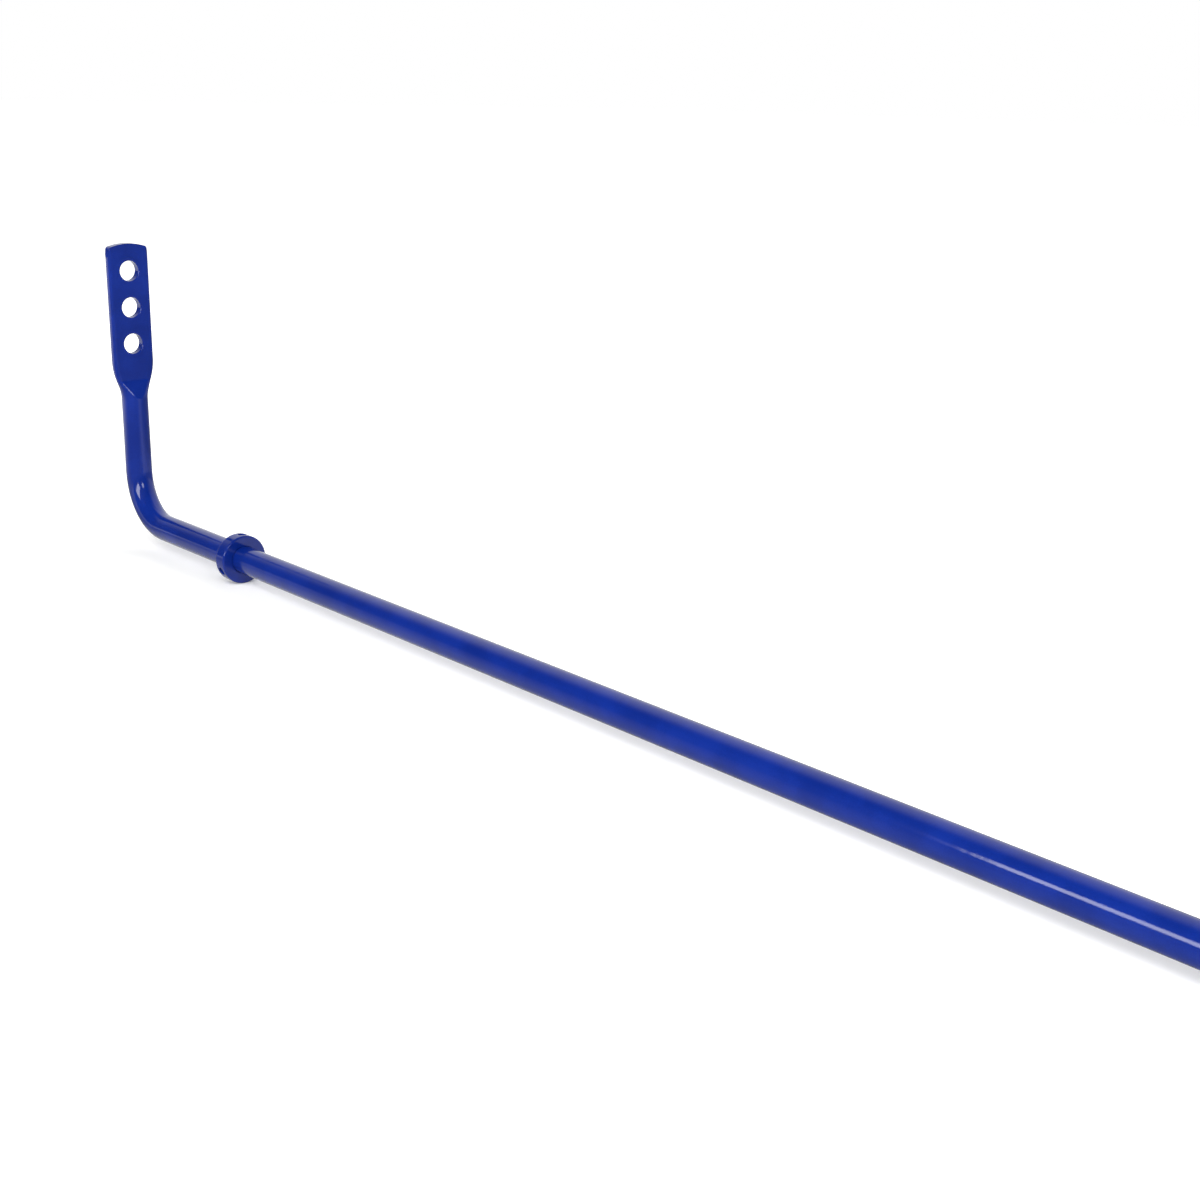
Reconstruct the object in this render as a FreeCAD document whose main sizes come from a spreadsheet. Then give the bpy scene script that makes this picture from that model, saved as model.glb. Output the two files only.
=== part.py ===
"""Rear sway bar with flattened, three-hole arm ends and two lateral lock collars.

Frame, in millimetres: the origin is the middle of the straight torsion section, on its axis.
+X runs along the bar to the right arm, +Z points the way both arms point, and Y is across the bar.

Pieces: one bent spring-steel bar, and on it two lock collars, each held by three set screws.
"""

import FreeCAD, Part

import math
import os

import Sketcher
from FreeCAD import Vector

SIZES = {
    # bar
    "bar_diameter": 16.0,
    "arm_spacing": 960.0,  # between the axes of the two arms
    "bend_radius": 31.0,  # of the bar's centreline
    # flattened arm end; heights are above the torsion axis
    "flare_start": 77.0,
    "flare_end": 101.0,
    "press_height": 89.0,  # where the flat faces begin
    "press_fillet": 4.0,  # concave radius between each flat and its ramp
    "ramp_angle": 28.0,  # between each ramp and the arm
    "press_shoulder": 3.0,  # convex radius where the ramp runs out onto the round arm
    "press_run_out": 0.3,  # how far outside the round arm the shoulder ends
    "blade_width": 26.6,
    "blade_thickness": 5.5,
    "blade_edge_radius": 2.0,
    # sheared tip of the blade
    "taper_height": 161.0,
    "taper_run_out": 0.05,
    "taper_radius": 30.0,
    "taper_end_height": 167.9,
    "taper_end_spacing": 24.9,
    "tip_corner_radius": 2.5,
    "tip_arc_height": 169.75,  # of both ends of the arc across the tip
    "tip_arc_span": 21.5,
    "tip_radius": 36.0,
    "shear_allowance": 6.0,  # length above the ends of the tip's arc that the shear trims off
    # drop-link holes
    "link_hole_diameter": 12.2,
    "link_hole_pitch": 22.0,
    "link_hole_count": 3,
    "link_hole_chamfer": 0.4,
    "outer_hole_height": 155.0,
    # lateral lock collars
    "collar_diameter": 28.4,
    "collar_width": 8.6,
    "collar_clearance": 0.05,  # radial, between bore and bar
    "collar_setback": 119.0,  # from the arm's axis to the middle of the collar
    "collar_rim_radius": 0.8,
    "collar_bore_chamfer": 0.1,
    # set screws
    "screw_count": 3,
    "first_screw_angle": -6.0,  # degrees from +Z towards -Y
    "screw_hole_diameter": 5.0,
    "screw_diameter": 4.92,
    "screw_pitch": 0.8,
    "screw_length": 5.0,
    "screw_tip_gap": 0.02,  # between the tip and the bar
    "screw_tip_chamfer": 0.8,
    "screw_end_chamfer": 0.3,
    "thread_depth": 0.4,
    "thread_land": 0.2,  # width of a thread crest
    "thread_count": 4,  # turns of thread on a screw
    "socket_width": 2.5,  # across flats
    "socket_depth": 2.6,
}

LEFT_ARM = "-Sizes.arm_spacing / 2"  # where the left arm stands along X
OPEN_SIDE = 60.0  # how far the open side of a cutting profile reaches
FULL_TURN = 360
HEXAGON = 6

MATCH = 0.001  # how closely an edge has to fit the size it is looked up by
SHORTEST_BLADE_EDGE = 1.0  # an edge of a flat face that rises less than this runs across the blade
SMALLEST_CUT = 0.01  # cubic millimetres


# Sketches and features


def make_sheet(doc):
    """The driving dimensions, one named cell each."""
    sheet = doc.addObject("Spreadsheet::Sheet", "Sizes")
    for row, (name, value) in enumerate(SIZES.items(), start=1):
        sheet.set(f"A{row}", name)
        sheet.set(f"B{row}", str(value))
        sheet.setAlias(f"B{row}", name)
    doc.recompute()


def new_body(doc, name):
    """An empty body whose label is the name of its node and file."""
    body = doc.addObject("PartDesign::Body", name)
    body.Label = name
    return body


def origin_part(body, role):
    """A plane or axis of the body's own origin, such as XY_Plane."""
    return next(part for part in body.Origin.OriginFeatures if part.Role == role)


def sketch_on(body, role, name, offset=None):
    """An empty sketch on one of the body's origin planes, moved along its normal by an expression."""
    sketch = body.newObject("Sketcher::SketchObject", name)
    sketch.AttachmentSupport = [(origin_part(body, role), "")]
    sketch.MapMode = "FlatFace"
    if offset:
        sketch.setExpression("AttachmentOffset.Base.z", offset)
    return sketch


def value_of(sketch, expression):
    """What an expression of the sheet comes to now."""
    result = sketch.evalExpression(expression)
    return float(getattr(result, "Value", result))


def drive(sketch, constraint, expression):
    """Adds a dimension to the sketch and binds it to the sheet."""
    index = sketch.addConstraint(constraint)
    sketch.setExpression(f"Constraints[{index}]", expression)


def pin_point(sketch, edge, vertex, x, y):
    """Fixes a vertex at (x, y), both expressions of the sheet."""
    for kind, expression in (("DistanceX", x), ("DistanceY", y)):
        start = value_of(sketch, expression)
        drive(sketch, Sketcher.Constraint(kind, -1, 1, edge, vertex, start), expression)


def draw_circle(sketch, x, y, diameter):
    """A circle about (x, y)."""
    centre = Vector(value_of(sketch, x), value_of(sketch, y), 0)
    size = value_of(sketch, diameter)
    edge = sketch.addGeometry(Part.Circle(centre, Vector(0, 0, 1), size / 2))
    pin_point(sketch, edge, 3, x, y)
    drive(sketch, Sketcher.Constraint("Diameter", edge, size), diameter)


def arc_between(start, end, radius):
    """The shorter arc from start to end, which bulges to the right if the radius is positive."""
    chord = end - start
    right = Vector(chord.y, -chord.x, 0).normalize()
    rise = abs(radius) - math.sqrt(radius**2 - chord.Length**2 / 4)
    middle = (start + end) / 2 + right * math.copysign(rise, radius)
    return Part.ArcOfCircle(start, middle, end)


def vertex_at(sketch, edge, point):
    """Which end of an edge is at a point: an arc always runs anticlockwise, whichever way it was drawn."""
    to_start = (sketch.getPoint(edge, 1) - point).Length
    to_end = (sketch.getPoint(edge, 2) - point).Length
    return 1 if to_start < to_end else 2


def draw_path(sketch, corners, radii=None, closed=True):
    """Edges through the corners, which are (x, y) pairs of expressions.

    radii maps the number of an edge to the expression of its radius; the other edges are straight.
    """
    radii = radii or {}
    points = [Vector(value_of(sketch, x), value_of(sketch, y), 0) for x, y in corners]
    ends = points[1:] + points[:1] if closed else points[1:]
    edges = []
    for step, (start, end) in enumerate(zip(points, ends)):
        if step in radii:
            curve = arc_between(start, end, value_of(sketch, radii[step]))
        else:
            curve = Part.LineSegment(start, end)
        edges.append(sketch.addGeometry(curve))

    starts = [vertex_at(sketch, edge, point) for edge, point in zip(edges, points)]
    for edge, vertex, corner in zip(edges, starts, corners):
        pin_point(sketch, edge, vertex, *corner)
    for step, (edge, vertex) in enumerate(zip(edges, starts)):
        following = (step + 1) % len(edges)
        if closed or following:
            joint = (edge, 3 - vertex, edges[following], starts[following])
            sketch.addConstraint(Sketcher.Constraint("Coincident", *joint))
    if not closed:
        pin_point(sketch, edges[-1], 3 - starts[-1], *corners[-1])
    for step, expression in radii.items():
        size = abs(value_of(sketch, expression))
        drive(sketch, Sketcher.Constraint("Radius", edges[step], size), f"abs({expression})")


def sweep(body, name, section, path):
    """Sweeps a section along a path."""
    feature = body.newObject("PartDesign::AdditivePipe", name)
    feature.Profile = section
    feature.Spine = path
    return feature


def turn_profile(body, kind, name, profile, role):
    """Adds or grooves a profile turned fully about one of the body's origin axes."""
    feature = body.newObject(f"PartDesign::{kind}", name)
    feature.Profile = profile
    feature.ReferenceAxis = (origin_part(body, role), [""])
    return feature


def cut_through(body, name, profile):
    """Cuts through everything on both sides of the profile."""
    pocket = body.newObject("PartDesign::Pocket", name)
    pocket.Profile = profile
    pocket.SideType = "Symmetric"
    pocket.Type = "ThroughAll"
    return pocket


def repeat_in_line(body, name, feature, pitch, count):
    """Repeats a feature along the body's Z axis."""
    row = body.newObject("PartDesign::LinearPattern", name)
    row.Originals = [feature]
    row.Direction = (origin_part(body, "Z_Axis"), [""])
    row.setExpression("Length", f"{pitch} * ({count} - 1)")
    row.setExpression("Occurrences", count)
    body.Tip = row
    return row


def mirror_everything(body, name, role):
    """Joins everything made so far to its mirror image across one of the body's origin planes."""
    last = body.Tip
    both = body.newObject("PartDesign::Mirrored", name)
    both.TransformMode = "Whole shape"
    both.Originals = [last]
    both.MirrorPlane = (origin_part(body, role), [""])
    body.Tip = both


def circular_edges(feature, radius):
    """Names of a feature's circular edges of one radius."""
    names = []
    for number, edge in enumerate(feature.Shape.Edges, start=1):
        if isinstance(edge.Curve, Part.Circle) and abs(edge.Curve.Radius - radius) < MATCH:
            names.append(f"Edge{number}")
    return names


def chamfer_rims(body, name, radius, size):
    """Chamfers every circular edge of one radius."""
    body.Document.recompute()
    sharp = body.Tip
    chamfer = body.newObject("PartDesign::Chamfer", name)
    chamfer.Base = (sharp, circular_edges(sharp, radius))
    chamfer.setExpression("Size", size)


def round_rims(body, name, radius, size):
    """Rounds every circular edge of one radius."""
    body.Document.recompute()
    sharp = body.Tip
    fillet = body.newObject("PartDesign::Fillet", name)
    fillet.Base = (sharp, circular_edges(sharp, radius))
    fillet.setExpression("Radius", size)


# The bar


def bend_bar(body):
    """The round bar, from its middle to the top of the left arm's round part."""
    path = sketch_on(body, "XZ_Plane", "centreline")
    corners = [
        ("0", "0"),
        (f"{LEFT_ARM} + Sizes.bend_radius", "0"),
        (LEFT_ARM, "Sizes.bend_radius"),
        (LEFT_ARM, "Sizes.flare_start"),
    ]
    draw_path(path, corners, {1: "-Sizes.bend_radius"}, closed=False)
    section = sketch_on(body, "YZ_Plane", "bar_section")
    draw_circle(section, "0", "0", "Sizes.bar_diameter")
    sweep(body, "round_bar", section, path)


def spread_arm(body):
    """The upset end of the arm, where the round section spreads to both edges of the blade."""
    spread = "(Sizes.blade_width - Sizes.bar_diameter) / 2"
    rise = "(Sizes.flare_end - Sizes.flare_start)"
    radius = f"({rise}^2 + ({spread})^2) / (4 * {spread})"
    corners = [
        ("0", "Sizes.flare_start"),
        (f"{spread} / 2", "(Sizes.flare_start + Sizes.flare_end) / 2"),
        (spread, "Sizes.flare_end"),
        (spread, "Sizes.tip_arc_height + Sizes.shear_allowance"),
    ]
    path = sketch_on(body, "YZ_Plane", "spread_path", LEFT_ARM)
    draw_path(path, corners, {0: f"-{radius}", 1: radius}, closed=False)
    section = sketch_on(body, "XY_Plane", "spread_section", "Sizes.flare_start")
    draw_circle(section, LEFT_ARM, "0", "Sizes.bar_diameter")
    sweep(body, "spread_side", section, path)
    halve_along_bar(body)
    mirror_everything(body, "spread_sides", "XZ_Plane")


def halve_along_bar(body):
    """Keeps the half on the +Y side, so that its mirror image meets it in one clean plane."""
    waste = [
        (f"{OPEN_SIDE}", "0"),
        (f"{LEFT_ARM} - {OPEN_SIDE}", "0"),
        (f"{LEFT_ARM} - {OPEN_SIDE}", f"-{OPEN_SIDE}"),
        (f"{OPEN_SIDE}", f"-{OPEN_SIDE}"),
    ]
    sketch = sketch_on(body, "XY_Plane", "other_half")
    draw_path(sketch, waste)
    cut_through(body, "halved", sketch)


def press_flat(body):
    """Presses both faces of the spread end flat, with a ramp at the foot of each onto the round arm."""
    face = "Sizes.blade_thickness / 2"
    reach = "(Sizes.bar_diameter / 2 + Sizes.press_run_out)"
    lean = "cos(Sizes.ramp_angle)"
    drop = "sin(Sizes.ramp_angle)"
    ramp_start = (
        f"({face} + Sizes.press_fillet * (1 - {lean}))",
        f"(Sizes.press_height - Sizes.press_fillet * {drop})",
    )
    ramp_end_x = f"({reach} - Sizes.press_shoulder * (1 - {lean}))"
    ramp_end_z = f"({ramp_start[1]} - ({ramp_end_x} - {ramp_start[0]}) / tan(Sizes.ramp_angle))"
    foot = f"({ramp_end_z} - Sizes.press_shoulder * {drop})"
    top = f"Sizes.tip_arc_height + {OPEN_SIDE}"
    profile = [
        (face, top),
        (face, "Sizes.press_height"),
        ramp_start,
        (ramp_end_x, ramp_end_z),
        (reach, foot),
        (f"{OPEN_SIDE}", foot),
        (f"{OPEN_SIDE}", top),
    ]
    tools = sketch_on(body, "XZ_Plane", "press_tools")
    for side in (1, -1):
        corners = [(f"{LEFT_ARM} + {side} * {x}", z) for x, z in profile]
        draw_path(tools, corners, {1: f"{side} * Sizes.press_fillet", 3: f"-{side} * Sizes.press_shoulder"})
    cut_through(body, "press", tools)


def flat_face_sides(feature):
    """Names of the edges that run up the sides of the two flat faces."""
    names = []
    for number, edge in enumerate(feature.Shape.Edges, start=1):
        box = edge.BoundBox
        from_arm = abs(box.Center.x + SIZES["arm_spacing"] / 2)
        on_face = box.XLength < MATCH and abs(from_arm - SIZES["blade_thickness"] / 2) < MATCH
        if on_face and box.ZLength > SHORTEST_BLADE_EDGE:
            names.append(f"Edge{number}")
    return names


def round_blade_edges(body):
    """Rounds the sides of both flat faces, down to where the ramps run out."""
    body.Document.recompute()
    pressed = body.Tip
    fillet = body.newObject("PartDesign::Fillet", "blade_edges")
    fillet.Base = (pressed, flat_face_sides(pressed))
    fillet.setExpression("Radius", "Sizes.blade_edge_radius")


def shear_tip(body):
    """Shears the end of the blade: tapered sides, two small corners and a shallow arc between them."""
    taper_foot = "(Sizes.blade_width / 2 + Sizes.taper_run_out)"
    taper_end = "Sizes.taper_end_spacing / 2"
    arc_end = "Sizes.tip_arc_span / 2"
    top = f"Sizes.tip_arc_height + {OPEN_SIDE}"
    waste = [
        (f"-{taper_foot}", "Sizes.taper_height"),
        (f"-{taper_end}", "Sizes.taper_end_height"),
        (f"-{arc_end}", "Sizes.tip_arc_height"),
        (arc_end, "Sizes.tip_arc_height"),
        (taper_end, "Sizes.taper_end_height"),
        (taper_foot, "Sizes.taper_height"),
        (f"{OPEN_SIDE}", "Sizes.taper_height"),
        (f"{OPEN_SIDE}", top),
        (f"-{OPEN_SIDE}", top),
        (f"-{OPEN_SIDE}", "Sizes.taper_height"),
    ]
    taper = "-Sizes.taper_radius"
    corner = "-Sizes.tip_corner_radius"
    tool = sketch_on(body, "YZ_Plane", "shear_tool", LEFT_ARM)
    draw_path(tool, waste, {0: taper, 1: corner, 2: "-Sizes.tip_radius", 3: corner, 4: taper})
    cut_through(body, "shear", tool)


def drill_link_holes(body):
    """The row of drop-link holes, from the outer one down, with both rims broken."""
    sketch = sketch_on(body, "YZ_Plane", "link_hole", LEFT_ARM)
    draw_circle(sketch, "0", "Sizes.outer_hole_height", "Sizes.link_hole_diameter")
    outer_hole = cut_through(body, "outer_link_hole", sketch)
    row = repeat_in_line(body, "link_holes", outer_hole, "Sizes.link_hole_pitch", "Sizes.link_hole_count")
    row.Reversed = True
    chamfer_rims(body, "link_hole_rims", SIZES["link_hole_diameter"] / 2, "Sizes.link_hole_chamfer")


def make_torsion_bar(doc):
    """The one-piece bar: the left half is shaped first and then mirrored."""
    body = new_body(doc, "torsion_bar")
    bend_bar(body)
    spread_arm(body)
    press_flat(body)
    round_blade_edges(body)
    shear_tip(body)
    drill_link_holes(body)
    mirror_everything(body, "both_halves", "YZ_Plane")


# The collars and their set screws


def place_on_bar(body, side, turn="0"):
    """Moves a collar or screw out to its end of the bar and turns it about the bar's axis.

    side is -1 for the left end and 1 for the right. turn is counted from the collar's first screw.
    """
    body.setExpression("Placement.Base.x", f"{side} * (Sizes.arm_spacing / 2 - Sizes.collar_setback)")
    body.setExpression("Placement.Rotation.Axis.x", "1")
    body.setExpression("Placement.Rotation.Axis.z", "0")
    body.setExpression("Placement.Rotation.Angle", f"Sizes.first_screw_angle + {turn}")


def drill_screw_holes(body):
    """Radial holes for the set screws; the first points along the collar's own +Z."""
    sketch = sketch_on(body, "XY_Plane", f"{body.Label}_screw_hole")
    draw_circle(sketch, "0", "0", "Sizes.screw_hole_diameter")
    hole = body.newObject("PartDesign::Pocket", f"{body.Label}_first_hole")
    hole.Profile = sketch
    hole.Reversed = True
    hole.setExpression("Length", "Sizes.collar_diameter")
    ring = body.newObject("PartDesign::PolarPattern", f"{body.Label}_screw_holes")
    ring.Originals = [hole]
    ring.Axis = (origin_part(body, "X_Axis"), [""])
    ring.Angle = FULL_TURN
    ring.setExpression("Occurrences", "Sizes.screw_count")
    body.Tip = ring


def make_collar(doc, name, side):
    """One lock collar: a plain ring, rounded outside, with three radial holes."""
    body = new_body(doc, name)
    half_width = "Sizes.collar_width / 2"
    bore = "Sizes.bar_diameter / 2 + Sizes.collar_clearance"
    rim = "Sizes.collar_diameter / 2"
    profile = sketch_on(body, "XZ_Plane", f"{name}_profile")
    draw_path(
        profile,
        [(f"-{half_width}", bore), (f"-{half_width}", rim), (half_width, rim), (half_width, bore)],
    )
    turn_profile(body, "Revolution", f"{name}_ring", profile, "X_Axis")
    round_rims(body, f"{name}_outer_rims", SIZES["collar_diameter"] / 2, "Sizes.collar_rim_radius")
    bore_radius = SIZES["bar_diameter"] / 2 + SIZES["collar_clearance"]
    chamfer_rims(body, f"{name}_bore_rims", bore_radius, "Sizes.collar_bore_chamfer")
    drill_screw_holes(body)
    place_on_bar(body, side)


def cut_thread(body, tip, radius):
    """The thread as a row of V grooves, one for each turn."""
    opening = "(Sizes.screw_pitch - Sizes.thread_land)"
    middle = f"({tip} + Sizes.screw_tip_chamfer + Sizes.screw_pitch / 2)"
    groove_form = [
        (f"{radius} - Sizes.thread_depth", middle),
        (f"{radius} + Sizes.thread_depth", f"{middle} + {opening}"),
        (f"{radius} + Sizes.thread_depth", f"{middle} - {opening}"),
    ]
    profile = sketch_on(body, "XZ_Plane", f"{body.Label}_thread_form")
    draw_path(profile, groove_form)
    groove = turn_profile(body, "Groove", f"{body.Label}_first_groove", profile, "Z_Axis")
    repeat_in_line(body, f"{body.Label}_thread", groove, "Sizes.screw_pitch", "Sizes.thread_count")


def cut_socket(body, outer_end):
    """The hexagon socket in the outer end."""
    reach = "Sizes.socket_width / sqrt(3)"
    turns = [corner * FULL_TURN / HEXAGON for corner in range(HEXAGON)]
    sketch = sketch_on(body, "XY_Plane", f"{body.Label}_hexagon", outer_end)
    draw_path(sketch, [(f"{reach} * cos({turn})", f"{reach} * sin({turn})") for turn in turns])
    socket = body.newObject("PartDesign::Pocket", f"{body.Label}_socket")
    socket.Profile = sketch
    socket.setExpression("Length", "Sizes.socket_depth")


def make_set_screw(doc, name, side, index):
    """One socket set screw, pointing at the bar with its tip just clear of it."""
    body = new_body(doc, name)
    tip = "(Sizes.bar_diameter / 2 + Sizes.screw_tip_gap)"
    outer_end = f"({tip} + Sizes.screw_length)"
    radius = "(Sizes.screw_diameter / 2)"
    outline = [
        ("0", tip),
        (f"{radius} - Sizes.screw_tip_chamfer", tip),
        (radius, f"{tip} + Sizes.screw_tip_chamfer"),
        (radius, f"{outer_end} - Sizes.screw_end_chamfer"),
        (f"{radius} - Sizes.screw_end_chamfer", outer_end),
        ("0", outer_end),
    ]
    profile = sketch_on(body, "XZ_Plane", f"{name}_profile")
    draw_path(profile, outline)
    turn_profile(body, "Revolution", f"{name}_blank", profile, "Z_Axis")
    cut_thread(body, tip, radius)
    cut_socket(body, outer_end)
    place_on_bar(body, side, f"{index} * {FULL_TURN} / Sizes.screw_count")


# Checks and files


def check(doc):
    """Stops if a feature failed, a cut removed nothing or a piece isn't one sound solid."""
    for item in doc.Objects:
        if {"Invalid", "Error"} & set(item.State):
            raise RuntimeError(f"{item.Name} is {item.State}")
        if item.TypeId == "Sketcher::SketchObject" and not item.FullyConstrained:
            raise RuntimeError(f"{item.Name} isn't fully constrained")
        if item.TypeId in ("PartDesign::Pocket", "PartDesign::Groove"):
            if item.Shape.Volume > item.BaseFeature.Shape.Volume - SMALLEST_CUT:
                raise RuntimeError(f"{item.Name} cuts nothing")
        if item.TypeId == "PartDesign::Body":
            if item.Shape.isNull() or not item.Shape.isValid() or len(item.Shape.Solids) != 1:
                raise RuntimeError(f"{item.Label} isn't one sound solid")


def export(doc):
    """Writes each piece to its own file."""
    os.makedirs("parts", exist_ok=True)
    for item in doc.Objects:
        if item.TypeId == "PartDesign::Body":
            item.Shape.exportStep(f"parts/{item.Label}.step")


doc = FreeCAD.newDocument("SwayBar")
make_sheet(doc)
make_torsion_bar(doc)
for end, side in (("left", -1), ("right", 1)):
    make_collar(doc, f"{end}_collar", side)
    for index in range(SIZES["screw_count"]):
        make_set_screw(doc, f"{end}_set_screw_{index + 1}", side, index)
doc.recompute()
check(doc)
export(doc)
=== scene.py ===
"""Looks of the sway bar: glossy blue powder coat, dark set screws and a pale studio.

Everything is in metres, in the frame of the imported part: the origin is the middle of the torsion
section, +X runs along it to the right arm, and both arms point along +Z.
"""

import math

import bpy
from mathutils import Matrix, Vector


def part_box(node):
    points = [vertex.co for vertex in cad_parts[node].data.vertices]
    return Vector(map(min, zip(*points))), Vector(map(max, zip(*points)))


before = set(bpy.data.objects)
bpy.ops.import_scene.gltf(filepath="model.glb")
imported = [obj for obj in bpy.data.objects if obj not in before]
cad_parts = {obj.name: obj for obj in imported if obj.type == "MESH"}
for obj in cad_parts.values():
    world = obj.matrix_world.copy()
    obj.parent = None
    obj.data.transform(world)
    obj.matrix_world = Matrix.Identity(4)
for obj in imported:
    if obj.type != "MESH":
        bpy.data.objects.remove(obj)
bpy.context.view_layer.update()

MM = 0.001
WHITE = (1.0, 1.0, 1.0, 1.0)

# Places that the lights face
MIDDLE = (0.0, 0.0, 0.0)  # of the torsion section
LEFT_ARM = (-0.48, 0.0, 0.1)

# Camera, placed so that the part's outline falls where the reference picture has it
CAMERA_PLACE = Vector((467.1, -485.8, 266.0)) * MM
CAMERA_AZIMUTH = math.radians(136.94)  # of the view's direction, from +X towards +Y
CAMERA_PITCH = math.radians(-17.0)
CAMERA_ROLL = math.radians(1.36)
CAMERA_LENS = 49.97  # mm
CAMERA_SENSOR = 36.0  # mm
CAMERA_NEAR = 10.0 * MM

# How much of a noise's range a colour or a roughness is spread over
COLOUR_SPREAD = (0.35, 0.65)
ROUGHNESS_SPREAD = (0.3, 0.7)

# Powder coat. A scale is about how many features there are per metre.
PAINT_DEEP = (0.0014, 0.0130, 0.1480, 1.0)
PAINT_LIGHT = (0.0026, 0.0175, 0.1860, 1.0)
MOTTLE_SCALE = 60.0
GRAIN_SCALE = 1500.0
GRAIN_SHARE = 0.3  # of the colour's variation; the rest is mottle
PEEL_SCALE = 420.0
RIPPLE_SCALE = 90.0
RIPPLE_HEIGHT = 2.5  # times the height of the orange peel
PEEL_HEIGHT = 0.04 * MM
NIB_SCALE = 70.0
NIB_RADIUS = (0.02, 0.05)  # top and foot of a dust nib, as shares of the size of a Voronoi cell
NIB_RARITY = 0.9  # share of the cells that have no nib
NIB_HEIGHT = 0.1 * MM
EDGE_ROUNDING = 0.7 * MM
GLOSS_SCALE = 25.0
GLOSS_ROUGHNESS = (0.06, 0.11)
COAT_IOR = 1.45

# Set screws
STEEL_DARK = (0.020, 0.020, 0.022, 1.0)
STEEL_LIGHT = (0.055, 0.054, 0.056, 1.0)
STEEL_ROUGHNESS = (0.32, 0.5)
BLOTCH_SCALE = 900.0
SCRATCH_SCALE = 4000.0
SCRATCH_HEIGHT = 0.02 * MM
SCREW_PAINT_DEPTH = 1.8 * MM  # how far below the collar's surface the coat reaches into a screw hole
SCREW_PAINT_EDGE = 0.6 * MM  # depth over which it thins out
SPATTER_SCALE = 1200.0
SPATTER_DEPTH = 0.3 * MM  # how ragged the edge of the coat is

# Studio, as brightness where white is 1
BACKDROP_AZIMUTH = math.radians(120.0)
BACKDROP_EDGE = (0.0, 0.6)  # cosine of the angle from its middle over which the backdrop fades in
BACKDROP_LIGHT = 0.9
ROOM_LIGHT = 0.02
FILL_LIGHT = 0.3  # even light on matt surfaces from all round

# Floor. Besides the light that falls on it, it gives off one glow to the camera and one to the paint.
FLOOR_SIZE = 40.0
FLOOR_GAP = 0.1 * MM  # under the collars
FLOOR_ALBEDO = (0.95, 0.95, 0.931)  # slightly warm, against the blue that the bar throws on it
FLOOR_BAR_REACH = 0.45  # metres from the middle, up to which distances are measured straight across
FLOOR_GLOW = (0.05, 0.4)  # to the camera, in front of the bar and behind it
FLOOR_BEHIND = 0.06  # metres behind the bar over which the one turns into the other
FLOOR_FADE = (0.1, 0.7)  # metres from the bar over which the floor turns plain white
FLOOR_IN_PAINT = (0.6, 0.33)  # to the paint, close in front of the bar, at its left and its right
FLOOR_TURNS = (-0.4, 0.2)  # metres along the bar over which the one turns into the other
FLOOR_IN_PAINT_BEHIND = 0.4  # added to that behind the bar
FLOOR_BACK_EDGE = 0.02  # metres behind the bar's axis over which it is added
FLOOR_FAR_IN_PAINT = (1.3, 0.2)  # to the paint, farther away, beyond the left arm and elsewhere
FLOOR_FAR_LEFT = (-0.9, -0.5)  # metres along the bar over which the one turns into the other
FLOOR_TO_FAR = (0.015, 0.09)  # metres from the bar over which close turns into farther away
FLOOR_SLOWER_BEHIND = 0.3  # times the distance behind the bar, so that it turns farther out there


class Nodes:
    """Builds the node tree of a material or a world a line at a time."""

    def __init__(self, owner):
        owner.use_nodes = True
        self.owner = owner
        self.tree = owner.node_tree
        self.tree.nodes.clear()

    def add(self, kind, settings=None, **inputs):
        """Adds a node. settings are its properties, and inputs are values or sockets by input name."""
        node = self.tree.nodes.new(kind)
        for name, value in (settings or {}).items():
            setattr(node, name, value)
        for name, value in inputs.items():
            self.feed(node.inputs[name.replace("_", " ")], value)
        return node

    def feed(self, socket, value):
        """Sets an input to a value, or links it to another node's output."""
        if isinstance(value, bpy.types.NodeSocket):
            self.tree.links.new(value, socket)
        else:
            socket.default_value = value

    def maths(self, operation, first, second=0.0, third=0.0):
        """One step of arithmetic."""
        node = self.tree.nodes.new("ShaderNodeMath")
        node.operation = operation
        for socket, value in zip(node.inputs, (first, second, third)):
            self.feed(socket, value)
        return node.outputs[0]

    def ramp(self, value, low, high, low_out=0.0, high_out=1.0):
        """A smooth step of value from low to high."""
        node = self.add(
            "ShaderNodeMapRange",
            {"interpolation_type": "SMOOTHSTEP"},
            Value=value,
            From_Min=low,
            From_Max=high,
            To_Min=low_out,
            To_Max=high_out,
        )
        return node.outputs["Result"]

    def noise(self, where, scale, detail=2.0, roughness=0.5):
        """Noise from 0 to 1 whose features are about 1/scale metres across."""
        node = self.add("ShaderNodeTexNoise", Vector=where, Scale=scale, Detail=detail, Roughness=roughness)
        return node.outputs["Fac"]

    def mix(self, amount, first, second):
        """A colour between two."""
        node = self.add("ShaderNodeMix", {"data_type": "RGBA"})
        self.feed(node.inputs["Factor"], amount)
        self.feed(node.inputs[6], first)
        self.feed(node.inputs[7], second)
        return node.outputs[2]

    def bump(self, height, distance, strength=1.0, normal=None):
        """Turns a height into a normal."""
        node = self.add("ShaderNodeBump", Height=height, Distance=distance, Strength=strength)
        if normal is not None:
            self.feed(node.inputs["Normal"], normal)
        return node.outputs["Normal"]

    def finish(self, kind, shader):
        """Links a shader to an output node of this kind, and returns the material or world."""
        self.add(kind, Surface=shader)
        return self.owner


def hypotenuse(nodes, first, second):
    """The square root of the sum of two squares."""
    squares = nodes.maths("ADD", nodes.maths("POWER", first, 2.0), nodes.maths("POWER", second, 2.0))
    return nodes.maths("SQRT", squares)


def collar_radius():
    """Outer radius of the collars, from the frame."""
    low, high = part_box("left_collar")
    return (high[2] - low[2]) / 2


def radius_from_bar(nodes, where):
    """Distance from the torsion section's axis."""
    axes = nodes.add("ShaderNodeSeparateXYZ", Vector=where)
    return hypotenuse(nodes, axes.outputs["Y"], axes.outputs["Z"])


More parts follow.
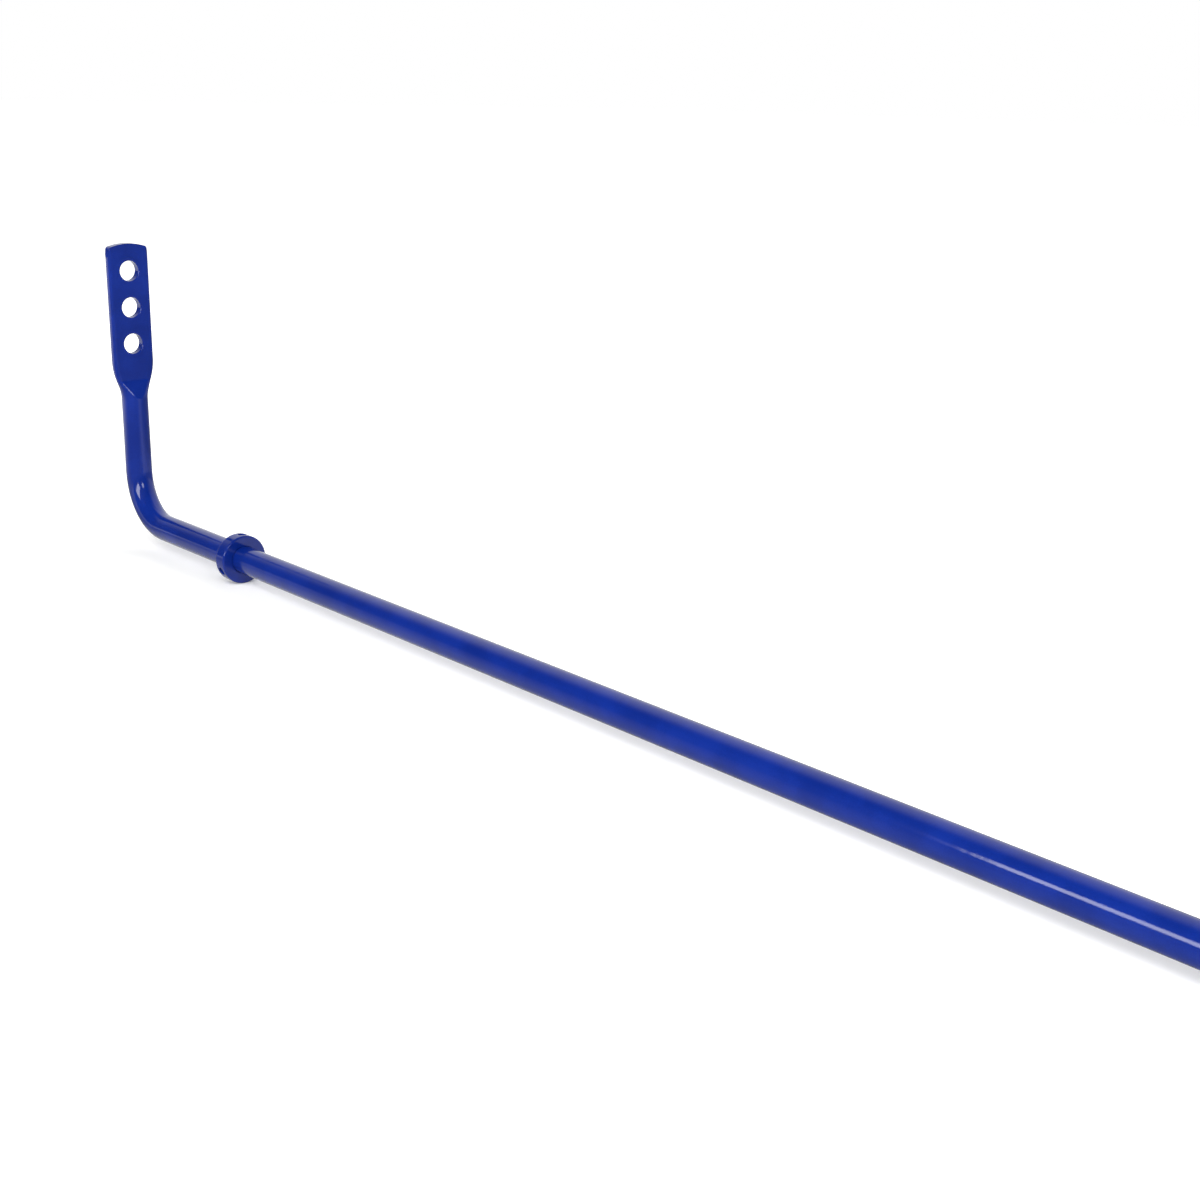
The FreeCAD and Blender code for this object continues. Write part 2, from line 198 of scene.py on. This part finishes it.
def paint_colour(nodes, where):
    """Blue with faint mottling and finer grain."""
    mottle = nodes.noise(where, MOTTLE_SCALE, 3.0)
    grain = nodes.noise(where, GRAIN_SCALE, 1.0)
    mottled = nodes.maths("MULTIPLY", mottle, 1.0 - GRAIN_SHARE)
    shade = nodes.maths("MULTIPLY_ADD", grain, GRAIN_SHARE, mottled)
    return nodes.mix(nodes.ramp(shade, *COLOUR_SPREAD), PAINT_DEEP, PAINT_LIGHT)


def paint_skin(nodes, where):
    """The normal of the coat: rounded edges, orange peel on slow ripples, and a few dust nibs."""
    rounded = nodes.add("ShaderNodeBevel", {"samples": 4}, Radius=EDGE_ROUNDING).outputs["Normal"]
    peel = nodes.noise(where, PEEL_SCALE, 2.0)
    ripple = nodes.noise(where, RIPPLE_SCALE, 2.0)
    uneven = nodes.maths("MULTIPLY_ADD", ripple, RIPPLE_HEIGHT, peel)
    skin = nodes.bump(uneven, PEEL_HEIGHT, 0.5, rounded)
    cells = nodes.add("ShaderNodeTexVoronoi", Vector=where, Scale=NIB_SCALE)
    lot = nodes.add("ShaderNodeSeparateColor", Color=cells.outputs["Color"]).outputs["Red"]
    chosen = nodes.maths("GREATER_THAN", lot, NIB_RARITY)
    nib = nodes.ramp(cells.outputs["Distance"], NIB_RADIUS[0], NIB_RADIUS[1], 1.0, 0.0)
    return nodes.bump(nodes.maths("MULTIPLY", nib, chosen), NIB_HEIGHT, 0.6, skin)


def paint_shader(nodes, where):
    """Glossy powder coat: deep blue under a clear, lightly orange-peeled skin with a few dust nibs."""
    skin = paint_skin(nodes, where)
    patches = nodes.noise(where, GLOSS_SCALE, 4.0)
    shader = nodes.add(
        "ShaderNodeBsdfPrincipled",
        Base_Color=paint_colour(nodes, where),
        Roughness=0.5,
        Specular_IOR_Level=0.05,
        Coat_Weight=1.0,
        Coat_Roughness=nodes.ramp(patches, *ROUGHNESS_SPREAD, *GLOSS_ROUGHNESS),
        Coat_IOR=COAT_IOR,
        Normal=skin,
        Coat_Normal=skin,
    )
    return shader.outputs[0]


def make_powder_coat():
    """The blue coat of the bar and collars."""
    nodes = Nodes(bpy.data.materials.new("powder_coat"))
    where = nodes.add("ShaderNodeTexCoord").outputs["Object"]
    return nodes.finish("ShaderNodeOutputMaterial", paint_shader(nodes, where))


def steel_shader(nodes, where):
    """Blotched black-oxide steel with fine scratches."""
    blotch = nodes.noise(where, BLOTCH_SCALE, 3.0)
    shader = nodes.add(
        "ShaderNodeBsdfPrincipled",
        Base_Color=nodes.mix(nodes.ramp(blotch, *COLOUR_SPREAD), STEEL_DARK, STEEL_LIGHT),
        Metallic=0.9,
        Roughness=nodes.ramp(blotch, *ROUGHNESS_SPREAD, *STEEL_ROUGHNESS),
        Normal=nodes.bump(nodes.noise(where, SCRATCH_SCALE, 2.0), SCRATCH_HEIGHT, 0.4),
    )
    return shader.outputs[0]


def make_screw_finish():
    """Steel below, and paint on the outer end, because the coat went on over the fitted screws."""
    nodes = Nodes(bpy.data.materials.new("set_screw_steel"))
    where = nodes.add("ShaderNodeTexCoord").outputs["Object"]
    spatter = nodes.noise(where, SPATTER_SCALE, 2.0)
    ragged = nodes.maths("MULTIPLY_ADD", spatter, SPATTER_DEPTH, radius_from_bar(nodes, where))
    bare = collar_radius() - SCREW_PAINT_DEPTH
    coated = nodes.ramp(ragged, bare, bare + SCREW_PAINT_EDGE)
    both = nodes.add("ShaderNodeMixShader", Fac=coated)
    nodes.feed(both.inputs[1], steel_shader(nodes, where))
    nodes.feed(both.inputs[2], paint_shader(nodes, where))
    return nodes.finish("ShaderNodeOutputMaterial", both.outputs[0])


def floor_to_camera(nodes, across, distance):
    """The floor's glow to the camera: faint close to the bar, where its shadow is."""
    near = nodes.ramp(across, 0.0, FLOOR_BEHIND, *FLOOR_GLOW)
    return nodes.ramp(distance, *FLOOR_FADE, near, 1.0)


def floor_in_paint(nodes, along, across, distance):
    """The floor's glow in the paint: bright around the bar and beyond the left arm, dim elsewhere."""
    behind = nodes.ramp(across, 0.0, FLOOR_BACK_EDGE)
    in_front = nodes.ramp(along, *FLOOR_TURNS, *FLOOR_IN_PAINT)
    near = nodes.maths("MULTIPLY_ADD", behind, FLOOR_IN_PAINT_BEHIND, in_front)
    far = nodes.ramp(along, *FLOOR_FAR_LEFT, *FLOOR_FAR_IN_PAINT)
    slower = nodes.maths("MULTIPLY_ADD", behind, FLOOR_SLOWER_BEHIND - 1.0, 1.0)
    return nodes.ramp(nodes.maths("MULTIPLY", distance, slower), *FLOOR_TO_FAR, near, far)


def make_floor_material():
    """A pale floor with its two glows. The paint mirrors its glow alone, and not the light on it."""
    nodes = Nodes(bpy.data.materials.new("pale_floor"))
    place = nodes.add("ShaderNodeTexCoord").outputs["Object"]
    axes = nodes.add("ShaderNodeSeparateXYZ", Vector=place)
    along, across = axes.outputs["X"], axes.outputs["Y"]
    past_end = nodes.maths("SUBTRACT", nodes.maths("ABSOLUTE", along), FLOOR_BAR_REACH)
    distance = hypotenuse(nodes, nodes.maths("MAXIMUM", past_end, 0.0), across)
    path = nodes.add("ShaderNodeLightPath")
    mirrored, seen = path.outputs["Is Glossy Ray"], path.outputs["Is Camera Ray"]
    to_camera = nodes.maths("MULTIPLY", seen, floor_to_camera(nodes, across, distance))
    glow = nodes.maths("MULTIPLY_ADD", mirrored, floor_in_paint(nodes, along, across, distance), to_camera)
    lit = nodes.maths("SUBTRACT", 1.0, mirrored)
    red, green, blue = [nodes.maths("MULTIPLY", lit, albedo) for albedo in FLOOR_ALBEDO]
    shader = nodes.add(
        "ShaderNodeBsdfPrincipled",
        Base_Color=nodes.add("ShaderNodeCombineColor", Red=red, Green=green, Blue=blue).outputs["Color"],
        Roughness=0.8,
        Specular_IOR_Level=0.0,
        Emission_Color=WHITE,
        Emission_Strength=glow,
    )
    return nodes.finish("ShaderNodeOutputMaterial", shader.outputs[0])


def dress(node, material):
    """Gives a CAD node one material all over."""
    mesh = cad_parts[node].data
    mesh.materials.clear()
    mesh.materials.append(material)


def make_floor():
    """The studio floor, wide enough to fill every view, just below the collars."""
    height = -collar_radius() - FLOOR_GAP
    bpy.ops.mesh.primitive_plane_add(size=FLOOR_SIZE, location=(0.0, 0.0, height))
    floor = bpy.context.object
    floor.name = "studio_floor"
    floor.data.materials.append(make_floor_material())


def make_light(name, place, target, size, power, mirrored):
    """A rectangular softbox that faces its target. Size is in metres and power in watts.

    mirrored says whether the paint shows it.
    """
    lamp = bpy.data.lights.new(name, "AREA")
    lamp.shape = "RECTANGLE"
    lamp.size, lamp.size_y = size
    lamp.energy = power
    light = bpy.data.objects.new(name, lamp)
    light.location = place
    direction = Vector(target) - Vector(place)
    light.rotation_euler = direction.to_track_quat("-Z", "Y").to_euler()
    light.visible_glossy = mirrored
    bpy.context.scene.collection.objects.link(light)


def make_lights():
    """Two broad lights for the paint's colour, then one each for the long highlight and the sparkles."""
    make_light("key", (0.8, -1.0, 1.35), MIDDLE, size=(2.4, 1.4), power=40.0, mirrored=False)
    make_light("rear", (-0.5, 1.1, 0.9), MIDDLE, size=(1.6, 0.8), power=12.0, mirrored=False)
    make_light("strip", (0.0, -0.928, 0.371), MIDDLE, size=(0.8, 0.3), power=6.5, mirrored=True)
    make_light("window", (0.95, -0.355, 0.6), LEFT_ARM, size=(0.35, 0.35), power=3.0, mirrored=True)


def make_world():
    """White to the camera, a bright backdrop in a dim room to the paint, and even light to the rest."""
    world = bpy.data.worlds.new("studio")
    nodes = Nodes(world)
    direction = nodes.add("ShaderNodeTexCoord").outputs["Generated"]
    facing = nodes.add("ShaderNodeVectorMath", {"operation": "DOT_PRODUCT"})
    nodes.feed(facing.inputs[0], direction)
    nodes.feed(facing.inputs[1], (math.cos(BACKDROP_AZIMUTH), math.sin(BACKDROP_AZIMUTH), 0.0))
    backdrop = nodes.ramp(facing.outputs["Value"], *BACKDROP_EDGE)
    in_paint = nodes.maths("MULTIPLY_ADD", backdrop, BACKDROP_LIGHT, ROOM_LIGHT)
    path = nodes.add("ShaderNodeLightPath")
    off_camera = nodes.ramp(path.outputs["Is Glossy Ray"], 0.0, 1.0, FILL_LIGHT, in_paint)
    strength = nodes.maths("MAXIMUM", off_camera, path.outputs["Is Camera Ray"])
    background = nodes.add("ShaderNodeBackground", Color=WHITE, Strength=strength)
    bpy.context.scene.world = nodes.finish("ShaderNodeOutputWorld", background.outputs[0])


def make_camera():
    """The camera: turned to its azimuth, tilted down and rolled a little."""
    data = bpy.data.cameras.new("camera")
    data.lens = CAMERA_LENS
    data.sensor_width = CAMERA_SENSOR
    data.clip_start = CAMERA_NEAR
    camera = bpy.data.objects.new("camera", data)
    turn = Matrix.Rotation(CAMERA_AZIMUTH - math.pi / 2, 4, "Z")
    tilt = Matrix.Rotation(math.pi / 2 + CAMERA_PITCH, 4, "X")
    roll = Matrix.Rotation(CAMERA_ROLL, 4, "Z")
    camera.matrix_world = Matrix.Translation(CAMERA_PLACE) @ turn @ tilt @ roll
    bpy.context.scene.collection.objects.link(camera)
    bpy.context.scene.camera = camera


powder_coat = make_powder_coat()
screw_finish = make_screw_finish()
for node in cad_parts:
    dress(node, screw_finish if "set_screw" in node else powder_coat)

make_floor()
make_world()
make_lights()
make_camera()
bpy.context.scene.view_settings.view_transform = "Standard"  # keeps white paper white
